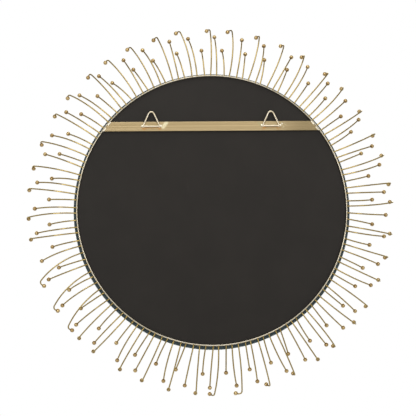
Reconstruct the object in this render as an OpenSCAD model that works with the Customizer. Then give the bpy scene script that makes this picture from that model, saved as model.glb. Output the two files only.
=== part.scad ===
// Sunburst wall mirror of gold wire, with its hanging bar.
// +Z is up, the mirror faces -Y, and the wall is the plane y = 0 behind it.
// The origin is the centre of the ring, on the wall plane.
// Left and right in the names are as seen from behind, so left is +X.

/* [Mirror] */
// Diameter of the mirror glass
glass_d = 457; // [454:1:460]
// Thickness of the mirror glass
glass_t = 3; // [2.5:0.5:4]
// How far the glass was set below the centre of the ring
glass_drop = 2; // [0:0.5:2.5]
// Diameter of the backing board
board_d = 448; // [446:1:449]
// Thickness of the backing board
board_t = 3; // [2.5:0.5:5]

/* [Ring] */
// Inner diameter of the ring that carries the rays
ring_inner_d = 444; // [440:1:444]
// Diameter of the ring's round rod
ring_rod_d = 2.3; // [2:0.1:3]

/* [Hanging bar] */
// Height of the flat bar's face
bar_h = 15.5; // [12:0.5:20]
// Thickness of the flat bar
bar_t = 2; // [1.5:0.5:2.5]
// Height of the bar's middle above the ring's centre
bar_rise = 139; // [110:1:160]
// Distance between the middles of the two wire triangles
hanger_spacing = 198; // [120:2:240]
// Diameter of the triangles' wire
hanger_wire_d = 2.8; // [2:0.2:3.2]
// Width of a wire triangle at its sharp lower corners
hanger_base = 31; // [30:1:36]
// Height of a wire triangle from its base line to its sharp top corner
hanger_height = 31; // [29:1:34]

/* [Rays] */
// Number of rays of each length
ray_sets = 44; // [36:4:44]
// Diameter of the ray wire
ray_wire_d = 2.3; // [1.6:0.1:2.4]
// Diameter of the beads
bead_d = 7; // [5:0.5:8]
// Turn of a short ray's forward curve, in degrees
short_turn = 32; // [20:1:36]
// Turn of a medium ray's forward curve, in degrees
medium_turn = 46; // [36:1:50]
// Turn of a long ray's forward curve, in degrees
long_turn = 40; // [30:1:42]
// Middle turn of the hooks at the long rays' ends, in degrees
hook_turn = 82; // [60:1:90]

/* [Hidden] */
$fn = 48;

// Layers from the wall forward, each at its rear face
bar_back = -hanger_wire_d;
bar_front = bar_back - bar_t;
ring_y = (bar_back + bar_front) / 2;
ring_to_board = 1.45;
board_back = ring_y - ring_rod_d / 2 - ring_to_board;
board_front = board_back - board_t;
mastic_t = 0.8;
paint_t = 0.15;
silver_t = 0.1;
paint_back = board_front - mastic_t;
silver_back = paint_back - paint_t;
glass_back = silver_back - silver_t;

ring_r = (ring_inner_d + ring_rod_d) / 2;
disc_bevel = 0.4;

// How far a weld or a glue dab sinks into what it holds
sink = 0.3;
// How far a cutting shape reaches past what it cuts
overreach = 1;
// Where two stretches of a wire meet: a gap between them, and a knot that closes it
knot_gap = 0.05;
knot_swell = 1.03;

// Mastic, glue and foam that hold the layers together
mastic_dab_d = 36;
mastic_circle_r = 150;
mastic_dabs = 8;
glue_dab_d = 2;
glue_dabs = 16;
pad_w = 24;
pad_h = 10;
pad_spacing = 110;

// Wire triangle: the bend at its top and the length of side that it takes up
corner_to_corner = hanger_base - hanger_wire_d;
apex_r = 5;
base_angle = atan(2 * hanger_height / corner_to_corner);
apex_tangent = apex_r * tan(base_angle);
nugget_d = 3.2;
nugget_in = 0.2;
nugget_up = 0.8;
end_weld_d = 2.4;
end_weld_inset = 3;

// Rays: SHORT, MEDIUM and LONG follow each other round the ring as medium, long, short
SHORT = 0;
MEDIUM = 1;
LONG = 2;
place_in_set = [2, 0, 1];
dip = [12, 0, 0];
bend_r = [88, 91, 122];
turn = [short_turn, medium_turn, long_turn];
lean_back = [2.4, 3.4, 2.7];
lean_play = [2.5, 1.8, 1.3];
lean_swing = [-5, -1.5, 1.5];
angle_play = 0.3;
bend_r_play = 0.04;
turn_play = 2;
curl = 8;
hook_r = 5.5;
hook_start = 1;
hook_swing = 8;
hook_swing_at = 30;
hook_turn_play = 8;
hook_play = 10;
droop = 50;
droop_at = 112;
droop_power = 1.5;
first_angle = -1.65;
spread = 1.1;
quarter_sets = ray_sets / 4;

// Long rays bent well out of line: [number, roll of the curve, roll of the hook, turn of the hook]
strays = [
    [24, 55, 20, 100], [25, 54, 15, 95], [26, 48, 20, 90],
    [33, -14, -40, 90], [34, -8, -75, 110], [35, 0, -30, 100]
];
function stray(kind, k) = [for (s = strays) if (kind == LONG && s[0] == k) s];

// A repeatable unevenness between -1 and 1 for ray number n
function uneven(n, stride) = sin(stride * n);
function long_only(kind, value) = kind == LONG ? value : 0;
function ray_number(kind, k) = 3 * k + place_in_set[kind];
function even_angle(n) = first_angle + 120 * n / ray_sets;
function ray_angle(n) = even_angle(n) - spread * sin(even_angle(n)) + angle_play * uneven(n, 143);
function ray_lean(kind, n) =
    lean_play[kind] * uneven(n, 101) - lean_back[kind] - lean_swing[kind] * sin(even_angle(n));
function ray_bend_r(kind, n) = bend_r[kind] * (1 + bend_r_play * uneven(n, 197));
function ray_turn(kind, n) = turn[kind] + turn_play * uneven(n, 163);
function even_roll(kind, n) = curl * (1 + uneven(n, 71) + long_only(kind, sin(even_angle(n))));
function even_droop(n) =
    droop * pow(max(0, cos(even_angle(n) - droop_at)), droop_power) + hook_play * uneven(n, 59);
function even_hook_turn(n) =
    hook_turn + hook_swing * cos(even_angle(n) - hook_swing_at) + hook_turn_play * uneven(n, 83);

// How ray k of a kind curves: a stray's own values, or those that the rule gives
function curve_roll(kind, k) =
    len(stray(kind, k)) > 0 ? stray(kind, k)[0][1] : even_roll(kind, ray_number(kind, k));
function hook_roll(k) =
    len(stray(LONG, k)) > 0 ? stray(LONG, k)[0][2]
    : even_droop(ray_number(LONG, k)) - curve_roll(LONG, k);
function ray_hook_turn(k) =
    len(stray(LONG, k)) > 0 ? stray(LONG, k)[0][3] : even_hook_turn(ray_number(LONG, k));

// Turns children so that their X runs outward at an angle counter-clockwise from behind, and Z to the wall
module around(angle) {
    rotate([-90, 0, 0]) rotate([0, 0, angle - 180]) children();
}

// A short swelling that joins two stretches of wire, its poles along X
module knot(wire_d) {
    rotate([0, 90, 0]) sphere(d = wire_d * knot_swell);
}

// A bend from X towards -Z
module bend(radius, angle, wire_d) {
    rotate([0, -90, -90]) translate([-radius, 0, 0])
        rotate_extrude(angle = angle) translate([radius, 0]) circle(d = wire_d);
}

// Carries its children to the end of such a bend
module past_bend(radius, angle) {
    translate([radius * sin(angle), 0, radius * (cos(angle) - 1)]) rotate([0, angle, 0]) children();
}

// Carries its children to the ring's side, where ray k of a kind starts, with X along the wire
module at_root(kind, k) {
    n = ray_number(kind, k);
    around(ray_angle(n)) translate([ring_r, 0, ring_y])
        rotate([0, 0, ray_lean(kind, n)]) rotate([0, dip[kind], 0])
            translate([ring_rod_d / 2 - sink, 0, 0]) rotate([curve_roll(kind, k), 0, 0])
                children();
}

// Carries its children from the root to the end of the forward curve
module past_curve(kind, k) {
    n = ray_number(kind, k);
    past_bend(ray_bend_r(kind, n), ray_turn(kind, n)) children();
}

module ray(kind, k) {
    n = ray_number(kind, k);
    at_root(kind, k) {
        bend(ray_bend_r(kind, n), ray_turn(kind, n), ray_wire_d);
        if (kind == LONG)
            past_curve(kind, k) {
                knot(ray_wire_d);
                rotate([hook_roll(k), 0, 0]) past_bend(hook_r, hook_start)
                    bend(hook_r, ray_hook_turn(k) - hook_start, ray_wire_d);
            }
    }
}

module bead(kind, k) {
    at_root(kind, k) past_curve(kind, k)
        rotate([long_only(kind, hook_roll(k)), 0, 0]) past_bend(hook_r, long_only(kind, ray_hook_turn(k)))
            translate([bead_d / 2 - sink, 0, 0]) sphere(d = bead_d);
}

module rays(kind, quarter) {
    for (k = [quarter * quarter_sets : (quarter + 1) * quarter_sets - 1]) ray(kind, k);
}

module beads(kind, quarter) {
    for (k = [quarter * quarter_sets : (quarter + 1) * quarter_sets - 1]) bead(kind, k);
}

// A disc across Y with bevelled rims, from its rear face forward
module disc(d, rear, thickness, bevel) {
    translate([0, rear, 0]) rotate([90, 0, 0]) rotate_extrude()
        polygon([
            [0, 0], [d / 2 - bevel, 0], [d / 2, bevel],
            [d / 2, thickness - bevel], [d / 2 - bevel, thickness], [0, thickness]
        ]);
}

// A thin round layer or dab across Y, from its rear face forward
module layer(d, rear, thickness) {
    translate([0, rear, 0]) rotate([90, 0, 0]) cylinder(d = d, h = thickness);
}

module ring_rod() {
    translate([0, ring_y, 0]) rotate([90, 0, 0])
        rotate_extrude() translate([ring_r, 0]) circle(d = ring_rod_d);
}

module bar_blank() {
    intersection() {
        translate([-ring_r, bar_front, bar_rise - bar_h / 2]) cube([2 * ring_r, bar_t, bar_h]);
        layer(ring_inner_d, bar_back + overreach, bar_t + 2 * overreach);
    }
}

// A closed wire triangle with a rounded top, its base along X
module wire_triangle() {
    half = corner_to_corner / 2;
    side = norm([half, hanger_height]) - apex_tangent;
    translate([-half, 0, 0]) rotate([0, 90, 0]) cylinder(d = hanger_wire_d, h = corner_to_corner);
    for (end = [-1, 1])
        translate([end * half, 0, 0]) {
            knot(hanger_wire_d);
            rotate([0, end * (base_angle - 90), 0]) cylinder(d = hanger_wire_d, h = side - knot_gap);
        }
    translate([0, 0, hanger_height - apex_r / cos(base_angle)]) rotate([90, 0, 0])
        rotate([0, 0, 90 - base_angle]) {
            rotate_extrude(angle = 2 * base_angle) translate([apex_r, 0]) circle(d = hanger_wire_d);
            for (angle = [0, 2 * base_angle])
                rotate([0, 0, angle]) translate([apex_r, 0, 0]) knot(hanger_wire_d);
        }
}

module hanger_loop(x) {
    translate([x, -hanger_wire_d / 2, bar_rise]) wire_triangle();
}

// A weld nugget that stands on the bar's rear face
module nugget(x, z, d) {
    translate([x, bar_back, z])
        difference() {
            sphere(d = d);
            translate([-d, -d, -d]) cube([2 * d, d, 2 * d]);
        }
}

module hanger_welds(x) {
    for (side = [-1, 1]) nugget(x + side * (hanger_base / 2 - nugget_in), bar_rise + nugget_up, nugget_d);
}

module mirror_glass() {
    color("#9fc4bd", 0.6) translate([0, 0, -glass_drop]) disc(glass_d, glass_back, glass_t, disc_bevel);
}

module mirror_silvering() {
    color("silver") translate([0, 0, -glass_drop]) layer(glass_d - 2 * disc_bevel, silver_back, silver_t);
}

module mirror_back_paint() {
    color("#2f4650") translate([0, 0, -glass_drop]) layer(glass_d - 2 * disc_bevel, paint_back, paint_t);
}

module board_mastic() {
    color("#8c8474") {
        layer(mastic_dab_d, board_front, mastic_t);
        for (i = [0 : mastic_dabs - 1])
            around(360 * i / mastic_dabs) translate([mastic_circle_r, 0, board_front - mastic_t])
                cylinder(d = mastic_dab_d, h = mastic_t);
    }
}

module backing_board() {
    color("#332f2b") disc(board_d, board_back, board_t, disc_bevel);
}

module rear_ring() {
    color("#d8c596") ring_rod();
}

module ring_glue_dabs() {
    color("#4a3524")
        for (i = [0 : glue_dabs - 1])
            around(360 * (i + 0.5) / glue_dabs)
                translate([board_d / 2 - disc_bevel - glue_dab_d / 2, 0, board_back])
                    cylinder(d = glue_dab_d, h = ring_to_board + sink);
}

module hanging_bar() {
    color("#c2ab7c") bar_blank();
}

module bar_pads() {
    color("#6d6a66")
        for (x = [-pad_spacing, 0, pad_spacing])
            translate([x - pad_w / 2, board_back, bar_rise - pad_h / 2])
                cube([pad_w, bar_front - board_back, pad_h]);
}

module bar_end_welds() {
    color("#cbb27a")
        for (side = [-1, 1], edge = [-1, 1]) {
            z = bar_rise + edge * (bar_h / 2 - end_weld_inset);
            bar_end = sqrt(ring_inner_d * ring_inner_d / 4 - z * z);
            nugget(side * (bar_end - end_weld_d / 2 + sink), z, end_weld_d);
        }
}

module left_hanger_loop() {
    color("#e3d4ac") hanger_loop(hanger_spacing / 2);
}

module right_hanger_loop() {
    color("#e3d4ac") hanger_loop(-hanger_spacing / 2);
}

module left_hanger_welds() {
    color("#efe6cb") hanger_welds(hanger_spacing / 2);
}

module right_hanger_welds() {
    color("#efe6cb") hanger_welds(-hanger_spacing / 2);
}

module short_rays_upper_right() {
    color("#c9ab6c") rays(SHORT, 0);
}

module short_rays_upper_left() {
    color("#c9ab6c") rays(SHORT, 1);
}

module short_rays_lower_left() {
    color("#c9ab6c") rays(SHORT, 2);
}

module short_rays_lower_right() {
    color("#c9ab6c") rays(SHORT, 3);
}

module medium_rays_upper_right() {
    color("#c4a564") rays(MEDIUM, 0);
}

module medium_rays_upper_left() {
    color("#c4a564") rays(MEDIUM, 1);
}

module medium_rays_lower_left() {
    color("#c4a564") rays(MEDIUM, 2);
}

module medium_rays_lower_right() {
    color("#c4a564") rays(MEDIUM, 3);
}

module long_rays_upper_right() {
    color("#bf9f5d") rays(LONG, 0);
}

module long_rays_upper_left() {
    color("#bf9f5d") rays(LONG, 1);
}

module long_rays_lower_left() {
    color("#bf9f5d") rays(LONG, 2);
}

module long_rays_lower_right() {
    color("#bf9f5d") rays(LONG, 3);
}

module short_beads_upper_right() {
    color("#b08d52") beads(SHORT, 0);
}

module short_beads_upper_left() {
    color("#b08d52") beads(SHORT, 1);
}

module short_beads_lower_left() {
    color("#b08d52") beads(SHORT, 2);
}

module short_beads_lower_right() {
    color("#b08d52") beads(SHORT, 3);
}

module medium_beads_upper_right() {
    color("#b08d52") beads(MEDIUM, 0);
}

module medium_beads_upper_left() {
    color("#b08d52") beads(MEDIUM, 1);
}

module medium_beads_lower_left() {
    color("#b08d52") beads(MEDIUM, 2);
}

module medium_beads_lower_right() {
    color("#b08d52") beads(MEDIUM, 3);
}

module long_beads_upper_right() {
    color("#b08d52") beads(LONG, 0);
}

module long_beads_upper_left() {
    color("#b08d52") beads(LONG, 1);
}

module long_beads_lower_left() {
    color("#b08d52") beads(LONG, 2);
}

module long_beads_lower_right() {
    color("#b08d52") beads(LONG, 3);
}

mirror_glass();
mirror_silvering();
mirror_back_paint();
board_mastic();
backing_board();
rear_ring();
ring_glue_dabs();
hanging_bar();
bar_pads();
bar_end_welds();
left_hanger_loop();
right_hanger_loop();
left_hanger_welds();
right_hanger_welds();
short_rays_upper_right();
short_rays_upper_left();
short_rays_lower_left();
short_rays_lower_right();
medium_rays_upper_right();
medium_rays_upper_left();
medium_rays_lower_left();
medium_rays_lower_right();
long_rays_upper_right();
long_rays_upper_left();
long_rays_lower_left();
long_rays_lower_right();
short_beads_upper_right();
short_beads_upper_left();
short_beads_lower_left();
short_beads_lower_right();
medium_beads_upper_right();
medium_beads_upper_left();
medium_beads_lower_left();
medium_beads_lower_right();
long_beads_upper_right();
long_beads_upper_left();
long_beads_lower_left();
long_beads_lower_right();
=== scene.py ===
"""The looks of a gold wire sunburst wall mirror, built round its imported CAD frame.

+Z is up, the mirror faces -Y, and the wall is at y = 0. Left and right are as seen from behind, so left
is +X. Lengths are in metres and angles in degrees.
"""

import math

import bpy
import numpy as np
from mathutils import Matrix, Quaternion, Vector


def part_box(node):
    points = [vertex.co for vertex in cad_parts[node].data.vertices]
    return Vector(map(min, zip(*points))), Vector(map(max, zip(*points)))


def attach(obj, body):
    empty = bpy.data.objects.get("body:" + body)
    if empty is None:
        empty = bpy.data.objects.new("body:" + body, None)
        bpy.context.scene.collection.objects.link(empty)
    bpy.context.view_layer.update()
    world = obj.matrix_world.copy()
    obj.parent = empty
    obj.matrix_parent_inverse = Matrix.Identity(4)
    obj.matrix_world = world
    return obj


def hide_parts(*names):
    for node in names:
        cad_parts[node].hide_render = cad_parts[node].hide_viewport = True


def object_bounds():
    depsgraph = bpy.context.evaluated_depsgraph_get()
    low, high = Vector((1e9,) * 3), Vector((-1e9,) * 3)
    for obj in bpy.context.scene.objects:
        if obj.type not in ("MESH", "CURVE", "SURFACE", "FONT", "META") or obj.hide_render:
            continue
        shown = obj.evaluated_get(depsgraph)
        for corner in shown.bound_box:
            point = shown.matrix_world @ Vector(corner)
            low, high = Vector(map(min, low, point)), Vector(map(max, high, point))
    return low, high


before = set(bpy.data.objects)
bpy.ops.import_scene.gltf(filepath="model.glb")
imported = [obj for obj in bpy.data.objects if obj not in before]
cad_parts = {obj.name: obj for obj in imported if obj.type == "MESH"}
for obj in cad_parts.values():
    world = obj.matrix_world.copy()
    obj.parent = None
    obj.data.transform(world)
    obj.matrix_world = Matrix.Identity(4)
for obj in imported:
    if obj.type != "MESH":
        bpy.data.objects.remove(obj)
cad_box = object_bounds()

MM = 0.001
SEED = 7

# ---------------------------------------------------------------- sizes read from the frame

ring_low, ring_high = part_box("rear_ring")
bar_low, bar_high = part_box("hanging_bar")
board_low, board_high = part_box("backing_board")
glass_low, glass_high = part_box("mirror_glass")

RING_Y = (ring_low.y + ring_high.y) / 2
RING_ROD_R = (ring_high.y - ring_low.y) / 2
RING_R = ring_high.x - RING_ROD_R
BAR_RISE = (bar_low.z + bar_high.z) / 2
BAR_H = bar_high.z - bar_low.z
BAR_BACK = bar_high.y
HANGER_WIRE_R = -BAR_BACK / 2

# ---------------------------------------------------------------- sizes shared with the CAD part

HANGER_SPACING = 198 * MM
HANGER_BASE = 31 * MM
CORNER_TO_CORNER = HANGER_BASE - 2 * HANGER_WIRE_R
HANGER_HEIGHT = 31 * MM
APEX_R = 5 * MM

RAY_SETS = 44
QUARTER_SETS = RAY_SETS // 4
RAY_WIRE_R = 1.15 * MM
BEAD_R = 3.5 * MM
SINK = 0.3 * MM
LENGTHS = ("short", "medium", "long")
LONG = LENGTHS.index("long")
QUARTERS = ("upper_right", "upper_left", "lower_left", "lower_right")
PLACE_IN_SET = (2, 0, 1)
DIP = (12, 0, 0)
BEND_R = (88 * MM, 91 * MM, 122 * MM)
TURN = (32, 46, 40)
LEAN_BACK = (2.4, 3.4, 2.7)
LEAN_PLAY = (2.5, 1.8, 1.3)
LEAN_SWING = (-5, -1.5, 1.5)
ANGLE_PLAY = 0.3
BEND_R_PLAY = 0.04
TURN_PLAY = 2
CURL = 8
HOOK_R = 5.5 * MM
HOOK_TURN = 82
HOOK_SWING = 8
HOOK_SWING_AT = 30
HOOK_TURN_PLAY = 8
HOOK_PLAY = 10
DROOP = 50
DROOP_AT = 112
DROOP_POWER = 1.5
FIRST_ANGLE = -1.65
SPREAD = 1.1
# Long rays bent well out of line, as number: (roll of the curve, roll of the hook, turn of the hook)
STRAYS = {
    24: (55, 20, 100), 25: (54, 15, 95), 26: (48, 20, 90),
    33: (-14, -40, 90), 34: (-8, -75, 110), 35: (0, -30, 100),
}

# ---------------------------------------------------------------- sizes that only the looks have

# How far the glass stops short of the silver, so that a ray of light meets one face at a time
GLASS_GAP = 0.03 * MM
GLASS_BEVEL = 0.4 * MM
BOARD_BEVEL = 0.5 * MM
BAR_BEVEL = 0.3 * MM
DISC_POINTS = 256
RING_STEPS = 360
BEND_STEPS = 28
HOOK_STEPS = 14
# The inner corners of a triangle's bent wire, and how finely its path is cut
HANGER_CORNER_R = 1.6 * MM
HANGER_STEP = 1.5 * MM
# A lumpy drop of weld: steps from tip to tip, sides, and the flat at each tip as a share of a step
BLOB_STEPS = 14
BLOB_SIDES = 20
BLOB_TIP = 0.02
# How far the middle of a nugget or an end weld stands behind the bar
WELD_BACK = 0.1 * MM
# Half-lengths of the nugget at a triangle's corner, the run of weld beside it, and the one stray drop
NUGGET = (2.1 * MM, 1.6 * MM, 1.9 * MM)
NUGGET_RUN = (1.9 * MM, 0.7 * MM, 0.6 * MM)
STRAY_DROP = (1.5 * MM, 0.8 * MM, 1.2 * MM)
# The weld at a corner of the bar's end: lumps in a row, their step and half-lengths, and how far the middle
# one is from the bar's edge and from the ring
END_LUMPS = 5
END_LUMP_STEP = 1.1 * MM
END_LUMP = (1.1 * MM, 0.8 * MM, 1.1 * MM)
END_WELD_FROM_EDGE = 3 * MM
END_WELD_FROM_RING = 0.9 * MM
# The share by which a ray wire swells at its weld on the ring, the length over which that fades, and the
# extra cuts in the wire's first step that show it
FLARE = 0.55
FLARE_REACH = 0.55 * MM
FLARE_CUTS = (0.12, 0.25, 0.4, 0.6, 0.8)
# The bead's neck on its wire: distances along the wire, and radii as shares of the wire's
NECK = ((-0.9 * MM, 1), (-0.35 * MM, 1.04), (-0.05 * MM, 1.16))
NECK_MOUTH = 1.25
BEAD_STEPS = 14
BEAD_SPREAD = 0.015
# The flat at a bead's tip, as half its angle in radians
BEAD_TIP = 0.04
# How far the finish moves on from one ray to the next, so that no two are alike
WIRE_SHIFT = 0.31
BEAD_SHIFT = 0.17

# ---------------------------------------------------------------- the camera and the studio

CAMERA_AZIMUTH = 176.3
CAMERA_ELEVATION = -4.5
CAMERA_DISTANCE = 4.0
CAMERA_LENS = 210.2
CAMERA_AIM = Vector((0.0073, 0, 0.00305))
CAMERA_ROLL = 0.75
FLOOR_DROP = 0.4
FLOOR_SIZE = 50
# How much the floor glows to the camera alone, so that it stays pale in the dim light
FLOOR_GLOW = 0.15
# Each softbox: azimuth, elevation, distance, width, height, watts. Azimuth 0 is in front of the mirror.
SOFTBOXES = {
    "left_softbox": (146, 0, 3.2, 0.6, 2.2, 20),
    "right_softbox": (214, 0, 3.2, 0.6, 2.2, 16),
    "top_softbox": (180, 62, 1.3, 1.0, 0.7, 6),
}
# The world's light over the Z it comes from, as (z, colour). It is brightest a little above level.
LIGHT_OVER_Z = (
    (-0.8, (0.11, 0.085, 0.05)), (0, (0.24, 0.23, 0.21)), (0.15, (0.6, 0.6, 0.58)), (0.35, (1.3, 1.3, 1.27)),
    (0.55, (1.0, 0.99, 0.95)), (0.9, (0.5, 0.49, 0.46)),
)
# The strength of the world's light over the Y it comes from, as (y, strength). It is strong in front of the
# mirror, and a dim band lies round the photograph's side.
LIGHT_OVER_Y = (
    (-1, 3), (-0.75, 2.4), (-0.6, 0.4), (-0.2, 0.3), (0.2, 0.8), (0.54, 0.85), (0.68, 0.12), (0.8, 1.2),
    (1, 1.25),
)
BRIGHTEST = max(strength for _, strength in LIGHT_OVER_Y)

# ---------------------------------------------------------------- marks on the bar

# Orange-brown below the triangles' wire: part heat tint, part painted shadow under the wire.
HEAT_TINT_AND_SHADOW = (0.5, 0.25, 0.08)
BRIGHT = (0.72, 0.65, 0.44)
# Each kind of mark: its reach, its colour, and the range of mottle that shows it
CORNER_STAIN_AND_SHADOW = (5.5 * MM, HEAT_TINT_AND_SHADOW, 0.35, 0.6)
BASE_STAIN_AND_SHADOW = (3 * MM, HEAT_TINT_AND_SHADOW, 0.4, 0.7)
GROUND = (4.6 * MM, BRIGHT, 0.3, 0.5)
SCORCH = (3 * MM, (0.42, 0.36, 0.2), 0.3, 0.6)
DUST = (3.5 * MM, BRIGHT, 0.48, 0.56)
# The bar darker towards its right end, as seen from behind.
DARKER_RIGHT_END = (90 * MM, (0.31, 0.24, 0.13), 0, 0.1)


def sin(angle):
    return math.sin(math.radians(angle))


def cos(angle):
    return math.cos(math.radians(angle))


def turned(axis, angle):
    return np.array(Matrix.Rotation(math.radians(angle), 3, axis))


# ---------------------------------------------------------------- the paths of the ray wires


def uneven(n, stride):
    return sin(stride * n)


def ray_number(kind, k):
    return 3 * k + PLACE_IN_SET[kind]


def even_angle(n):
    return FIRST_ANGLE + 120 * n / RAY_SETS


def ray_angle(n):
    return even_angle(n) - SPREAD * sin(even_angle(n)) + ANGLE_PLAY * uneven(n, 143)


def ray_lean(kind, n):
    return LEAN_PLAY[kind] * uneven(n, 101) - LEAN_BACK[kind] - LEAN_SWING[kind] * sin(even_angle(n))


def curve_roll(kind, k):
    if kind == LONG and k in STRAYS:
        return STRAYS[k][0]
    n = ray_number(kind, k)
    return CURL * (1 + uneven(n, 71) + (sin(even_angle(n)) if kind == LONG else 0))


def hook_roll(k):
    if k in STRAYS:
        return STRAYS[k][1]
    n = ray_number(LONG, k)
    droop = DROOP * max(0, cos(even_angle(n) - DROOP_AT)) ** DROOP_POWER + HOOK_PLAY * uneven(n, 59)
    return droop - curve_roll(LONG, k)


def hook_turn(k):
    if k in STRAYS:
        return STRAYS[k][2]
    n = ray_number(LONG, k)
    return HOOK_TURN + HOOK_SWING * cos(even_angle(n) - HOOK_SWING_AT) + HOOK_TURN_PLAY * uneven(n, 83)


class Walker:
    """Walks along a wire: where it stands, and the way it faces along its own X."""

    def __init__(self):
        self.place = np.zeros(3)
        self.facing = np.eye(3)

    def turn(self, axis, angle):
        self.facing = self.facing @ turned(axis, angle)
        return self

    def step(self, x, y=0.0, z=0.0):
        self.place = self.place + self.facing @ np.array((x, y, z))
        return self

    def bend(self, radius, angle, steps):
        """Follows a bend from X towards -Z and gives the points on the way, the first left out."""
        turns = [angle * i / steps for i in range(1, steps + 1)]
        ways = [np.array((radius * sin(a), 0, radius * (cos(a) - 1))) for a in turns]
        passed = [self.place + self.facing @ way for way in ways]
        self.place = passed[-1]
        self.turn("Y", angle)
        return passed


def ray_path(kind, k):
    """The points of a ray wire's middle line from the ring outward, and a walker at its end."""
    n = ray_number(kind, k)
    walker = Walker().turn("X", -90).turn("Z", ray_angle(n) - 180).step(RING_R, 0, RING_Y)
    walker.turn("Z", ray_lean(kind, n)).turn("Y", DIP[kind])
    walker.step(RING_ROD_R - SINK).turn("X", curve_roll(kind, k))
    points = [walker.place]
    bend_r = BEND_R[kind] * (1 + BEND_R_PLAY * uneven(n, 197))
    points += walker.bend(bend_r, TURN[kind] + TURN_PLAY * uneven(n, 163), BEND_STEPS)
    if kind == LONG:
        walker.turn("X", hook_roll(k))
        points += walker.bend(HOOK_R, hook_turn(k), HOOK_STEPS)
    return np.array(points), walker


# ---------------------------------------------------------------- mesh building


class Shape:
    """Gathers points and faces, with a few numbers at each point that the finishes read."""

    def __init__(self):
        self.points = []
        self.faces = []
        self.straight = []
        self.along = []
        self.tone = []
        self.count = 0

    def add(self, points, faces, straight, along, tone):
        """Adds an item. straight is each point's place if its wire were straight, along is its distance from
        the wire's start, and tone is one number for the whole item.
        """
        self.points.append(points)
        self.faces += [[i + self.count for i in face] for face in faces]
        self.straight.append(straight)
        self.along.append(along)
        self.tone.append(np.full(len(points), tone))
        self.count += len(points)

    def build(self, name, finish, slot, *nodes, sharp=None):
        mesh = bpy.data.meshes.new(name)
        mesh.from_pydata(np.concatenate(self.points).tolist(), [], self.faces)
        mesh.attributes.new("straight", "FLOAT_VECTOR", "POINT").data.foreach_set(
            "vector", np.concatenate(self.straight).astype(np.float32).ravel()
        )
        for key, values in (("along", self.along), ("tone", self.tone)):
            mesh.attributes.new(key, "FLOAT", "POINT").data.foreach_set(
                "value", np.concatenate(values).astype(np.float32)
            )
        mesh.shade_smooth()
        if sharp is not None:
            mesh.set_sharp_from_angle(angle=math.radians(sharp))
        mesh.validate()
        piece = bpy.data.objects.new(name, mesh)
        bpy.context.scene.collection.objects.link(piece)
        mesh.materials.append(finish)
        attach(piece, "root")
        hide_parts(*nodes)


def corner_angles(sides):
    return np.arange(sides) * 2 * math.pi / sides


def lofted(rings, closed=False):
    """Faces between rings of equal counts of points, in order, with caps at both ends."""
    sides = len(rings[0])
    count = len(rings)
    faces = []
    for i in range(count if closed else count - 1):
        a, b = i * sides, (i + 1) % count * sides
        for j in range(sides):
            k = (j + 1) % sides
            faces.append([a + j, a + k, b + k, b + j])
    if not closed:
        faces.append(list(range(sides))[::-1])
        faces.append([(count - 1) * sides + j for j in range(sides)])
    return np.concatenate(rings), faces


def unit_rows(vectors):
    return vectors / np.linalg.norm(vectors, axis=1)[:, None]


def add_tube(shape, path, radii, tone=0.0, sides=12, closed=False, offset=0.0):
    """Sweeps a round section along a path. A radius goes with each point of the path."""
    path = np.asarray(path, float)
    ahead = np.roll(path, -1, axis=0) - path
    behind = path - np.roll(path, 1, axis=0)
    if not closed:
        ahead[-1], behind[0] = behind[-1], ahead[0]
    along = np.concatenate([[0], np.cumsum(np.linalg.norm(ahead[:-1], axis=1))])
    heading = unit_rows(unit_rows(ahead) + unit_rows(behind))
    side = np.cross(heading[0], (0.0, 1.0, 0.0))
    if np.linalg.norm(side) < 0.1:
        side = np.cross(heading[0], (1.0, 0.0, 0.0))
    rings = []
    straight = []
    angles = corner_angles(sides)
    for i, point in enumerate(path):
        side = side - heading[i] * side.dot(heading[i])
        side /= np.linalg.norm(side)
        up = np.cross(heading[i], side)
        across, over = np.cos(angles) * radii[i], np.sin(angles) * radii[i]
        rings.append(point + np.outer(across, side) + np.outer(over, up))
        straight.append(np.c_[np.full(sides, along[i] + offset), across, over])
    points, faces = lofted(rings, closed)
    shape.add(points, faces, np.concatenate(straight), np.repeat(along, sides), tone)


def add_turned(shape, profile, place, facing, tone=0.0, sides=20, offset=0.0):
    """Turns a profile of (distance along, radius) round the X of facing, from place."""
    angles = corner_angles(sides)
    rings = [np.c_[np.full(sides, x), r * np.cos(angles), r * np.sin(angles)] for x, r in profile]
    points, faces = lofted(rings)
    along = points[:, 0] - profile[0][0]
    straight = points + np.array((offset, 0, 0))
    shape.add(place + points @ facing.T, faces, straight, along, tone)


def add_plate(shape, outline, low, high, bevel, steps=4):
    """A plate across Y between low and high. outline(e) gives its (x, z) edge points, moved inward by e."""
    rings = []
    for i in range(2 * (steps + 1)):
        rear = i > steps
        angle = 90 * (i - steps - 1 if rear else steps - i) / steps
        inset = bevel * (1 - cos(angle))
        y = high - bevel * (1 - sin(angle)) if rear else low + bevel * (1 - sin(angle))
        edge = np.array(outline(inset))
        rings.append(np.c_[edge[:, 0], np.full(len(edge), y), edge[:, 1]])
    points, faces = lofted(rings)
    shape.add(points, faces, points.copy(), np.zeros(len(points)), 0.0)


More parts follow.
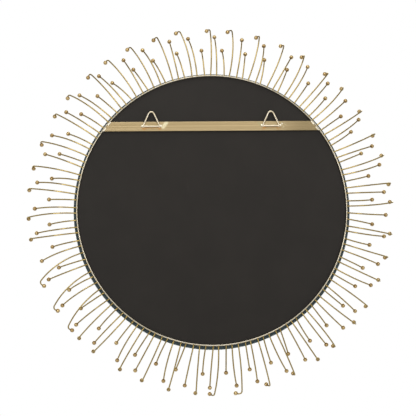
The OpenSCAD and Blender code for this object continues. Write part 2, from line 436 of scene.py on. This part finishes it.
def add_blob(shape, place, size, lumps, seed):
    """A lumpy drop of metal: a ball of the half-lengths in size, uneven by the share in lumps."""
    rng = np.random.default_rng(SEED + seed)
    waves = [(rng.normal(size=3) * 1.6, rng.uniform(0, 6)) for _ in range(5)]
    angles = corner_angles(BLOB_SIDES)
    rings = []
    for i in range(BLOB_STEPS + 1):
        polar = math.pi * min(max(i, BLOB_TIP), BLOB_STEPS - BLOB_TIP) / BLOB_STEPS
        across = np.sin(polar)
        ball = np.c_[across * np.cos(angles), across * np.sin(angles), np.full(BLOB_SIDES, np.cos(polar))]
        swell = 1 + lumps * sum(np.sin(ball @ direction + phase) for direction, phase in waves) / 3
        rings.append(ball * swell[:, None] * np.array(size) + np.array(place))
    points, faces = lofted(rings)
    faces = [face[::-1] for face in faces]
    shape.add(points, faces, points.copy(), np.zeros(len(points)), 0.0)


# ---------------------------------------------------------------- finishes


class Finish:
    """A node-based material in the making. The keyword values are set on the shader's own sockets."""

    def __init__(self, name, **fixed):
        self.material = bpy.data.materials.new(name)
        self.material.use_nodes = True
        self.tree = self.material.node_tree
        self.shader = self.tree.nodes["Principled BSDF"]
        for key, value in fixed.items():
            self.shader.inputs[key.replace("_", " ")].default_value = value

    def node(self, kind, inputs=(), **settings):
        made = self.tree.nodes.new("ShaderNode" + kind)
        for key, value in settings.items():
            setattr(made, key, value)
        for key, value in dict(inputs).items():
            self.feed(made.inputs[key], value)
        return made

    def feed(self, socket, value):
        if isinstance(value, bpy.types.NodeSocket):
            self.tree.links.new(value, socket)
        else:
            socket.default_value = value

    def place(self):
        """Each point's place on the object, in the row frame."""
        return self.node("TexCoord").outputs["Object"]

    def number(self, name):
        """A number that the mesh holds at each point."""
        return self.node("Attribute", attribute_name=name).outputs["Fac"]

    def straight(self):
        return self.node("Attribute", attribute_name="straight").outputs["Vector"]

    def scaled(self, vector, scale):
        return self.node("Mapping", {"Vector": vector, "Scale": scale}).outputs["Vector"]

    def noise(self, vector, scale, detail=4.0, rough=0.55, bend=0.0):
        inputs = {"Vector": vector, "Scale": scale, "Detail": detail, "Roughness": rough, "Distortion": bend}
        return self.node("TexNoise", inputs).outputs["Fac"]

    def speckle(self, vector, scale):
        return self.node("TexVoronoi", {"Vector": vector, "Scale": scale}).outputs["Distance"]

    def range(self, value, low, high, to_low=0.0, to_high=1.0):
        """Takes low to to_low and high to to_high, smoothly and no further."""
        inputs = {"Value": value, "From Min": low, "From Max": high, "To Min": to_low, "To Max": to_high}
        return self.node("MapRange", inputs, interpolation_type="SMOOTHSTEP").outputs["Result"]

    def plus(self, a, b):
        return self.arithmetic("ADD", a, b)

    def times(self, a, b):
        return self.arithmetic("MULTIPLY", a, b)

    def arithmetic(self, kind, a, b):
        made = self.node("Math", operation=kind)
        self.feed(made.inputs[0], a)
        self.feed(made.inputs[1], b)
        return made.outputs[0]

    def blend(self, share, a, b):
        made = self.node("Mix", data_type="RGBA")
        self.feed(made.inputs["Factor"], share)
        for socket, colour in zip([i for i in made.inputs if i.type == "RGBA"], (a, b)):
            self.feed(socket, colour if isinstance(colour, bpy.types.NodeSocket) else (*colour, 1.0))
        return [o for o in made.outputs if o.type == "RGBA"][0]

    def spot(self, vector, middle, reach, soft):
        """1 near a point, falling to 0 at reach over the share of it in soft."""
        made = self.node("VectorMath", operation="DISTANCE")
        self.feed(made.inputs[0], vector)
        self.feed(made.inputs[1], tuple(middle))
        return self.range(made.outputs["Value"], reach * (1 - soft), reach, 1.0, 0.0)

    def bump(self, height, depth, after=None):
        inputs = {"Height": height, "Distance": depth, "Strength": 1.0}
        if after is not None:
            inputs["Normal"] = after
        return self.node("Bump", inputs).outputs["Normal"]

    def done(self, colour, rough=None, normal=None):
        for key, value in (("Base Color", colour), ("Roughness", rough), ("Normal", normal)):
            if value is not None:
                self.feed(self.shader.inputs[key], value)
        return self.material


def gold_wire(name, light, deep, tarnish, rough_low, rough_high):
    """Drawn wire with a satin gold plate: faint draw lines, soft changes of tone, tarnish by its root."""
    f = Finish(name, Metallic=1.0)
    straight = f.straight()
    lines = f.noise(f.scaled(straight, (60, 2600, 2600)), 1.0, 3.0)
    patches = f.noise(f.scaled(straight, (90, 200, 200)), 1.0, 4.0)
    grain = f.noise(f.place(), 2600.0, 3.0)
    base = f.blend(f.range(patches, 0.35, 0.68), light, deep)
    base = f.blend(f.times(f.number("tone"), 0.45), base, deep)
    tarnished = f.times(f.range(f.number("along"), 0.3 * MM, 2.2 * MM, 1.0, 0.0), f.range(grain, 0.3, 0.7))
    base = f.blend(f.times(tarnished, 0.75), base, tarnish)
    rough = f.range(f.plus(lines, patches), 0.75, 1.3, rough_low, rough_high)
    normal = f.bump(lines, 0.03 * MM, f.bump(grain, 0.02 * MM))
    return f.done(base, rough, normal)


def gold_bead():
    """Cast brass beads, a little darker than the wire, with small pits and painted shade in the crease at the
    neck.
    """
    f = Finish("bead_gold", Metallic=1.0)
    place = f.place()
    clouds = f.noise(place, 420.0, 4.0, 0.6, 0.4)
    pits = f.range(f.speckle(place, 1500.0), 0.06, 0.22)
    base = f.blend(f.range(clouds, 0.3, 0.7), (0.7, 0.54, 0.28), (0.48, 0.34, 0.15))
    base = f.blend(f.times(f.number("tone"), 0.5), base, (0.34, 0.2, 0.07))
    # Painted shade: darker where the bead's neck meets its wire.
    painted_neck_shade = f.range(f.number("along"), 0.6 * MM, 2.4 * MM, 0.7, 0.0)
    base = f.blend(painted_neck_shade, base, (0.16, 0.09, 0.035))
    rough = f.range(clouds, 0.3, 0.7, 0.2, 0.34)
    normal = f.bump(pits, 0.05 * MM, f.bump(f.noise(place, 900.0, 2.0), 0.08 * MM))
    return f.done(base, rough, normal)


def brushed_bar(marks):
    """Flat bar: brushed along its length, ground bright by the welds, and under the triangles heat-stained
    with painted shadow beneath the wire.
    """
    f = Finish("bar_brushed_gold", Metallic=1.0)
    place = f.place()
    streaks = f.noise(f.scaled(place, (9, 90, 1500)), 1.0, 6.0, 0.7)
    long_streaks = f.noise(f.scaled(place, (2.2, 40, 420)), 1.0, 4.0, 0.6)
    clouds = f.noise(place, 45.0, 4.0)
    base = f.blend(f.range(long_streaks, 0.34, 0.66), (0.53, 0.415, 0.24), (0.385, 0.29, 0.15))
    base = f.blend(f.range(clouds, 0.45, 0.8, 0.0, 0.5), base, (0.46, 0.355, 0.2))
    mottle = f.noise(place, 480.0, 5.0, 0.65)
    rough = f.range(streaks, 0.3, 0.7, 0.46, 0.62)
    for middle, (reach, colour, low, high) in marks:
        near = f.times(f.spot(place, middle, reach, 0.75), f.range(mottle, low, high))
        base = f.blend(near, base, colour)
    return f.done(base, rough, f.bump(streaks, 0.06 * MM))


def board_black():
    """Black-brown hardboard: pressed fibres, a few scuffs and dust."""
    f = Finish("board_black", Specular_IOR_Level=0.26)
    place = f.place()
    fibres = f.noise(f.scaled(place, (1, 1, 1.6)), 900.0, 5.0, 0.7, 0.6)
    clouds = f.noise(place, 14.0, 5.0)
    scuffs = f.range(f.noise(f.scaled(place, (40, 10, 7)), 1.0, 6.0, 0.7), 0.66, 0.8)
    base = f.blend(f.range(clouds, 0.3, 0.7), (0.0112, 0.0088, 0.0068), (0.014, 0.0112, 0.0088))
    base = f.blend(f.range(fibres, 0.45, 0.8, 0.0, 0.3), base, (0.022, 0.018, 0.0145))
    base = f.blend(f.times(scuffs, 0.1), base, (0.07, 0.062, 0.055))
    rough = f.range(fibres, 0.3, 0.7, 0.5, 0.66)
    return f.done(base, rough, f.bump(fibres, 0.04 * MM))


def back_paint():
    """Satin blue-green paint over the silver, with slight roller marks."""
    f = Finish("mirror_back_paint")
    place = f.place()
    marks = f.noise(f.scaled(place, (1, 1, 4)), 260.0, 4.0, 0.6)
    base = f.blend(f.range(marks, 0.3, 0.7), (0.018, 0.04, 0.05), (0.028, 0.056, 0.068))
    return f.done(base, f.range(marks, 0.3, 0.7, 0.34, 0.5), f.bump(marks, 0.03 * MM))


def mirror_silver():
    f = Finish("mirror_silver", Metallic=1.0)
    haze = f.noise(f.place(), 30.0, 3.0)
    return f.done(f.blend(haze, (0.93, 0.94, 0.94), (0.9, 0.915, 0.91)), f.range(haze, 0.2, 0.8, 0.0, 0.012))


def float_glass():
    """Clear glass with the faint green of its iron and a faint, uneven roughness over its faces."""
    f = Finish("float_glass", Transmission_Weight=1.0, IOR=1.52)
    place = f.place()
    tint = f.blend(f.noise(place, 20.0, 2.0), (0.93, 0.985, 0.965), (0.945, 0.99, 0.975))
    return f.done(tint, f.range(f.noise(place, 700.0, 3.0), 0.4, 0.8, 0.0, 0.02))


def soft_filling(name, light, dark, scale, rough, depth):
    """Mastic, glue and foam: mottled, with pores of the size that scale sets."""
    f = Finish(name)
    place = f.place()
    pores = f.noise(place, scale, 5.0, 0.65)
    base = f.blend(f.range(pores, 0.32, 0.68), dark, light)
    return f.done(base, f.range(pores, 0.3, 0.7, rough, min(1.0, rough + 0.15)), f.bump(pores, depth))


def weld_with_painted_glint():
    """Gold-plated weld metal, glossy and rippled, coloured near white as a painted highlight for its glints.
    """
    f = Finish("weld_gold", Metallic=0.7)
    place = f.place()
    ripples = f.noise(place, 1500.0, 3.0, 0.6, 1.0)
    # A painted highlight: the near-white colour stands in for glints of light on glossy gold welds.
    base = f.blend(f.range(ripples, 0.35, 0.65), (1.0, 0.96, 0.86), (0.88, 0.78, 0.58))
    return f.done(base, f.range(ripples, 0.3, 0.7, 0.2, 0.36), f.bump(ripples, 0.09 * MM))


# ---------------------------------------------------------------- the disc


def repaint(node, material):
    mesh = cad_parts[node].data
    mesh.materials.clear()
    mesh.materials.append(material)


def circle_edge(radius, drop=0.0):
    """Gives an outline for add_plate: a circle whose middle is drop below the ring's."""

    def outline(inset):
        turns = [360 * i / DISC_POINTS for i in range(DISC_POINTS)]
        return [((radius - inset) * cos(a), (radius - inset) * sin(a) - drop) for a in turns]

    return outline


def make_disc():
    glass_r = (glass_high.x - glass_low.x) / 2
    drop = -(glass_high.z + glass_low.z) / 2
    glass = Shape()
    add_plate(glass, circle_edge(glass_r, drop), glass_low.y, glass_high.y - GLASS_GAP, GLASS_BEVEL)
    glass.build("glass_disc", float_glass(), "glass", "mirror_glass", sharp=40)
    board = Shape()
    add_plate(board, circle_edge(board_high.x), board_low.y, board_high.y, BOARD_BEVEL)
    board.build("back_board", board_black(), "board", "backing_board", sharp=40)
    repaint("mirror_silvering", mirror_silver())
    repaint("mirror_back_paint", back_paint())


# ---------------------------------------------------------------- the ring and the bar


def make_ring():
    shape = Shape()
    turns = [360 * i / RING_STEPS for i in range(RING_STEPS)]
    path = [(RING_R * cos(a), RING_Y, RING_R * sin(a)) for a in turns]
    add_tube(shape, path, [RING_ROD_R] * RING_STEPS, sides=16, closed=True)
    finish = gold_wire("ring_gold", (0.68, 0.62, 0.5), (0.57, 0.5, 0.37), (0.5, 0.42, 0.3), 0.16, 0.26)
    shape.build("ring_rod", finish, "ring", "rear_ring")


def bar_outline(inset):
    """The bar's edge: straight above and below, and arcs at the ends that follow the inside of the ring."""
    half = BAR_H / 2 - inset
    reach = RING_R - RING_ROD_R - inset
    low, high = BAR_RISE - half, BAR_RISE + half
    ends = 8
    right = [(math.sqrt(reach * reach - z * z), z) for z in np.linspace(low, high, ends)]
    middle = np.linspace(1, -1, 40)[1:-1]
    top = [(math.sqrt(reach * reach - high * high) * t, high) for t in middle]
    bottom = [(math.sqrt(reach * reach - low * low) * -t, low) for t in middle]
    left = [(-x, z) for x, z in right[::-1]]
    return right + top + left + bottom


def hanger_middle(side):
    return Vector((side * HANGER_SPACING / 2, BAR_BACK, BAR_RISE))


def by_corner(side, end, past, back, up):
    """A place by a corner of a triangle's base: how far past it along the bar, behind the bar, and up."""
    return hanger_middle(side) + Vector((end * (HANGER_BASE / 2 + past), back, up))


def bar_marks():
    """The marks on the bar, each as its middle and its kind."""
    marks = []
    for side in (-1, 1):
        # Heat tint with painted shadow below each triangle's corners and its base wire.
        for end in (-1, 1):
            marks.append((by_corner(side, end, -3 * MM, 0, -2.6 * MM), CORNER_STAIN_AND_SHADOW))
        for step in range(-2, 3):
            marks.append((hanger_middle(side) + Vector((step * 4 * MM, 0, -2.2 * MM)), BASE_STAIN_AND_SHADOW))
    for step in range(4):
        marks.append((by_corner(1, -1, (4 + 1.7 * step) * MM, 0, (2.3 * step - 1) * MM), GROUND))
    for step in range(4):
        marks.append((by_corner(-1, 1, (5 - 1.7 * step) * MM, 0, (5 - 2.3 * step) * MM), SCORCH))
        marks.append((by_corner(-1, -1, (2.5 + 2.6 * step) * MM, 0, (3 - step % 2 * 4) * MM), DUST))
    marks.append((Vector((bar_low.x, BAR_BACK, BAR_RISE)), DARKER_RIGHT_END))
    return marks


def make_bar():
    shape = Shape()
    add_plate(shape, bar_outline, bar_low.y, bar_high.y, BAR_BEVEL)
    shape.build("flat_bar", brushed_bar(bar_marks()), "bar", "hanging_bar", sharp=40)


# ---------------------------------------------------------------- the wire triangles and the welds


def rounded_loop(corners, radii, steps=10):
    """A closed flat path through corners (x, z), each rounded to its radius."""
    path = []
    count = len(corners)
    for i in range(count):
        here = np.array(corners[i], float)
        back = np.array(corners[i - 1], float) - here
        on = np.array(corners[(i + 1) % count], float) - here
        back /= np.linalg.norm(back)
        on /= np.linalg.norm(on)
        half = math.acos(np.clip(back.dot(on), -1, 1)) / 2
        middle = here + (back + on) / np.linalg.norm(back + on) * radii[i] / math.sin(half)
        start = here + back * radii[i] / math.tan(half) - middle
        end = here + on * radii[i] / math.tan(half) - middle
        sweep = math.atan2(start[0] * end[1] - start[1] * end[0], start.dot(end))
        for j in range(steps + 1):
            a = sweep * j / steps
            c, s = math.cos(a), math.sin(a)
            path.append(middle + np.array((c * start[0] - s * start[1], s * start[0] + c * start[1])))
    return path


def triangle_path(middle):
    """The middle line of a wire triangle whose base has its middle at middle."""
    half = CORNER_TO_CORNER / 2
    corners = [(-half, 0), (half, 0), (0, HANGER_HEIGHT)]
    flat = rounded_loop(corners, [HANGER_CORNER_R, HANGER_CORNER_R, APEX_R])
    path = [(middle.x + x, BAR_BACK + HANGER_WIRE_R, middle.z + z) for x, z in flat]
    dense = []
    for a, b in zip(path, path[1:] + path[:1]):
        parts = max(1, int(math.dist(a, b) / HANGER_STEP))
        dense += [np.array(a) + (np.array(b) - np.array(a)) * i / parts for i in range(parts)]
    return dense


def make_hangers():
    finish = gold_wire("hanger_gold", (0.82, 0.74, 0.6), (0.7, 0.6, 0.43), (0.5, 0.36, 0.18), 0.16, 0.28)
    weld = weld_with_painted_glint()
    for side, name in ((1, "left"), (-1, "right")):
        path = triangle_path(hanger_middle(side))
        loop = Shape()
        add_tube(loop, path, [HANGER_WIRE_R] * len(path), sides=18, closed=True)
        loop.build(name + "_wire_triangle", finish, "hanger_wire", name + "_hanger_loop")
        nuggets = Shape()
        for end in (-1, 1):
            seed = end + 3 * side
            add_blob(nuggets, by_corner(side, end, -0.2 * MM, WELD_BACK, 0.8 * MM), NUGGET, 0.16, 10 + seed)
            add_blob(nuggets, by_corner(side, end, -3 * MM, 0.2 * MM, -1.1 * MM), NUGGET_RUN, 0.2, 20 + seed)
        if name == "right":
            add_blob(nuggets, by_corner(side, -1, 3 * MM, 0, 3.4 * MM), STRAY_DROP, 0.2, 31)
        nuggets.build(name + "_weld_nuggets", weld, "welds", name + "_hanger_welds")


def make_end_welds():
    """A short lumpy bead of weld in each corner where the bar meets the ring."""
    shape = Shape()
    reach = RING_R - RING_ROD_R
    for side in (-1, 1):
        for edge in (-1, 1):
            z = BAR_RISE + edge * (BAR_H / 2 - END_WELD_FROM_EDGE)
            x = side * (math.sqrt(reach * reach - z * z) - END_WELD_FROM_RING)
            for step in range(END_LUMPS):
                dz = (step - END_LUMPS // 2) * END_LUMP_STEP
                place = (x - side * dz * z / abs(x), BAR_BACK + WELD_BACK, z + dz)
                add_blob(shape, place, END_LUMP, 0.18, 40 + step + 7 * side + 3 * edge)
    shape.build("end_weld_beads", weld_with_painted_glint(), "welds", "bar_end_welds")


# ---------------------------------------------------------------- the rays


def fraction(n, stride):
    """A repeatable number from 0 to 1 for ray number n."""
    return 0.5 + 0.5 * uneven(n, stride)


def make_rays():
    wire = gold_wire("ray_gold", (0.46, 0.35, 0.135), (0.34, 0.245, 0.075), (0.25, 0.165, 0.07), 0.12, 0.2)
    brass = gold_bead()
    for kind, length in enumerate(LENGTHS):
        for quarter, corner in enumerate(QUARTERS):
            wires = Shape()
            beads = Shape()
            for k in range(quarter * QUARTER_SETS, (quarter + 1) * QUARTER_SETS):
                add_ray(wires, beads, kind, k)
            end = length + "_{}_" + corner
            wires.build(end.format("ray_wires"), wire, "ray_wire", f"{length}_rays_{corner}")
            beads.build(end.format("ray_beads"), brass, "beads", f"{length}_beads_{corner}")


def add_ray(wires, beads, kind, k):
    """One ray: its wire, flared where it is welded to the ring, and its bead with a fillet at its neck."""
    n = ray_number(kind, k)
    path, walker = ray_path(kind, k)
    inner = [path[0] + (path[1] - path[0]) * cut for cut in FLARE_CUTS]
    path = np.concatenate([path[:1], inner, path[1:]])
    along = np.concatenate([[0], np.cumsum(np.linalg.norm(np.diff(path, axis=0), axis=1))])
    flare = FLARE * np.exp(-along / FLARE_REACH)
    add_tube(wires, path, RAY_WIRE_R * (1 + flare), fraction(n, 37), offset=WIRE_SHIFT * n)
    radius = BEAD_R * (1 + BEAD_SPREAD * uneven(n, 29))
    middle = BEAD_R - SINK
    start = math.asin(RAY_WIRE_R * NECK_MOUTH / radius)
    profile = [(x, RAY_WIRE_R * swell) for x, swell in NECK]
    for i in range(BEAD_STEPS + 1):
        a = start + (math.pi - BEAD_TIP - start) * i / BEAD_STEPS
        profile.append((middle - radius * math.cos(a), radius * math.sin(a)))
    add_turned(beads, profile, walker.place, walker.facing, fraction(n, 83), offset=BEAD_SHIFT * n)


# ---------------------------------------------------------------- the hidden fillings


def make_fillings():
    mastic = soft_filling("mastic", (0.3, 0.28, 0.24), (0.2, 0.18, 0.15), 260.0, 0.6, 0.2 * MM)
    glue = soft_filling("glue", (0.12, 0.075, 0.04), (0.07, 0.04, 0.02), 700.0, 0.3, 0.1 * MM)
    foam = soft_filling("foam", (0.17, 0.165, 0.16), (0.07, 0.068, 0.066), 1600.0, 0.85, 0.3 * MM)
    repaint("board_mastic", mastic)
    repaint("ring_glue_dabs", glue)
    repaint("bar_pads", foam)


# ---------------------------------------------------------------- studio


def make_floor():
    f = Finish("floor_pale", Roughness=0.9)
    pale = f.blend(f.noise(f.place(), 0.6, 2.0), (0.86, 0.86, 0.86), (0.89, 0.89, 0.89))
    seen = f.node("LightPath").outputs["Is Camera Ray"]
    f.feed(f.shader.inputs["Emission Color"], pale)
    f.feed(f.shader.inputs["Emission Strength"], f.times(seen, FLOOR_GLOW))
    f.done(pale)
    bpy.ops.mesh.primitive_plane_add(size=FLOOR_SIZE, location=(0, 0, cad_box[0].z - FLOOR_DROP))
    floor = bpy.context.object
    floor.name = "studio_floor"
    floor.data.materials.append(f.material)


def outward(azimuth, elevation):
    """The way from the origin to a camera or a lamp. Azimuth 0 is in front of the mirror, 180 behind it."""
    return Vector((sin(azimuth) * cos(elevation), -cos(azimuth) * cos(elevation), sin(elevation)))


def softbox(name, azimuth, elevation, distance, width, height, watts):
    """An area light that faces the origin."""
    light = bpy.data.lights.new(name, "AREA")
    light.shape = "RECTANGLE"
    light.size, light.size_y = width, height
    light.energy = watts
    lamp = bpy.data.objects.new(name, light)
    bpy.context.scene.collection.objects.link(lamp)
    away = outward(azimuth, elevation)
    lamp.location = away * distance
    lamp.rotation_mode = "QUATERNION"
    lamp.rotation_quaternion = away.to_track_quat("Z", "Y")
    lamp.visible_camera = False


def set_stops(ramp, stops):
    """Fills a colour ramp from (where, colour) pairs, with where from -1 to 1."""
    ramp.color_ramp.elements.remove(ramp.color_ramp.elements[1])
    for i, (where, colour) in enumerate(stops):
        stop = ramp.color_ramp.elements[0] if i == 0 else ramp.color_ramp.elements.new((where + 1) / 2)
        stop.position = (where + 1) / 2
        stop.color = (*colour, 1)


def make_world():
    """White to the camera. As light, it is pale above and in front of the mirror, and dim and warm below."""
    world = bpy.data.worlds.new("studio")
    bpy.context.scene.world = world
    world.use_nodes = True
    tree = world.node_tree
    nodes, links = tree.nodes, tree.links
    seen = nodes["Background"]
    seen.inputs["Color"].default_value = (1, 1, 1, 1)
    lit = nodes.new("ShaderNodeBackground")
    way = nodes.new("ShaderNodeTexCoord")
    split = nodes.new("ShaderNodeSeparateXYZ")
    height = nodes.new("ShaderNodeMapRange")
    height.inputs["From Min"].default_value = -1
    depth = nodes.new("ShaderNodeMapRange")
    depth.inputs["From Min"].default_value = -1
    ramp = nodes.new("ShaderNodeValToRGB")
    set_stops(ramp, LIGHT_OVER_Z)
    band = nodes.new("ShaderNodeValToRGB")
    set_stops(band, [(y, [strength / BRIGHTEST] * 3) for y, strength in LIGHT_OVER_Y])
    power = nodes.new("ShaderNodeMath")
    power.operation = "MULTIPLY"
    power.inputs[1].default_value = BRIGHTEST
    links.new(way.outputs["Generated"], split.inputs[0])
    links.new(split.outputs["Z"], height.inputs["Value"])
    links.new(height.outputs["Result"], ramp.inputs["Fac"])
    links.new(ramp.outputs["Color"], lit.inputs["Color"])
    links.new(split.outputs["Y"], depth.inputs["Value"])
    links.new(depth.outputs["Result"], band.inputs["Fac"])
    links.new(band.outputs["Color"], power.inputs[0])
    links.new(power.outputs[0], lit.inputs["Strength"])
    path = nodes.new("ShaderNodeLightPath")
    mix = nodes.new("ShaderNodeMixShader")
    links.new(path.outputs["Is Camera Ray"], mix.inputs[0])
    links.new(lit.outputs[0], mix.inputs[1])
    links.new(seen.outputs[0], mix.inputs[2])
    links.new(mix.outputs[0], nodes["World Output"].inputs["Surface"])


def make_camera():
    camera = bpy.data.cameras.new("photo_camera")
    camera.lens = CAMERA_LENS
    camera.clip_start, camera.clip_end = 0.05, 200
    eye = bpy.data.objects.new("photo_camera", camera)
    bpy.context.scene.collection.objects.link(eye)
    away = outward(CAMERA_AZIMUTH, CAMERA_ELEVATION)
    eye.location = CAMERA_AIM + away * CAMERA_DISTANCE
    eye.rotation_mode = "QUATERNION"
    roll = Quaternion((0, 0, 1), math.radians(-CAMERA_ROLL))
    eye.rotation_quaternion = away.to_track_quat("Z", "Y") @ roll
    bpy.context.scene.camera = eye


def make_studio():
    make_floor()
    make_world()
    for name, settings in SOFTBOXES.items():
        softbox(name, *settings)
    bpy.context.scene.view_settings.view_transform = "Standard"


make_camera()
make_disc()
make_ring()
make_bar()
make_hangers()
make_end_welds()
make_rays()
make_fillings()
make_studio()
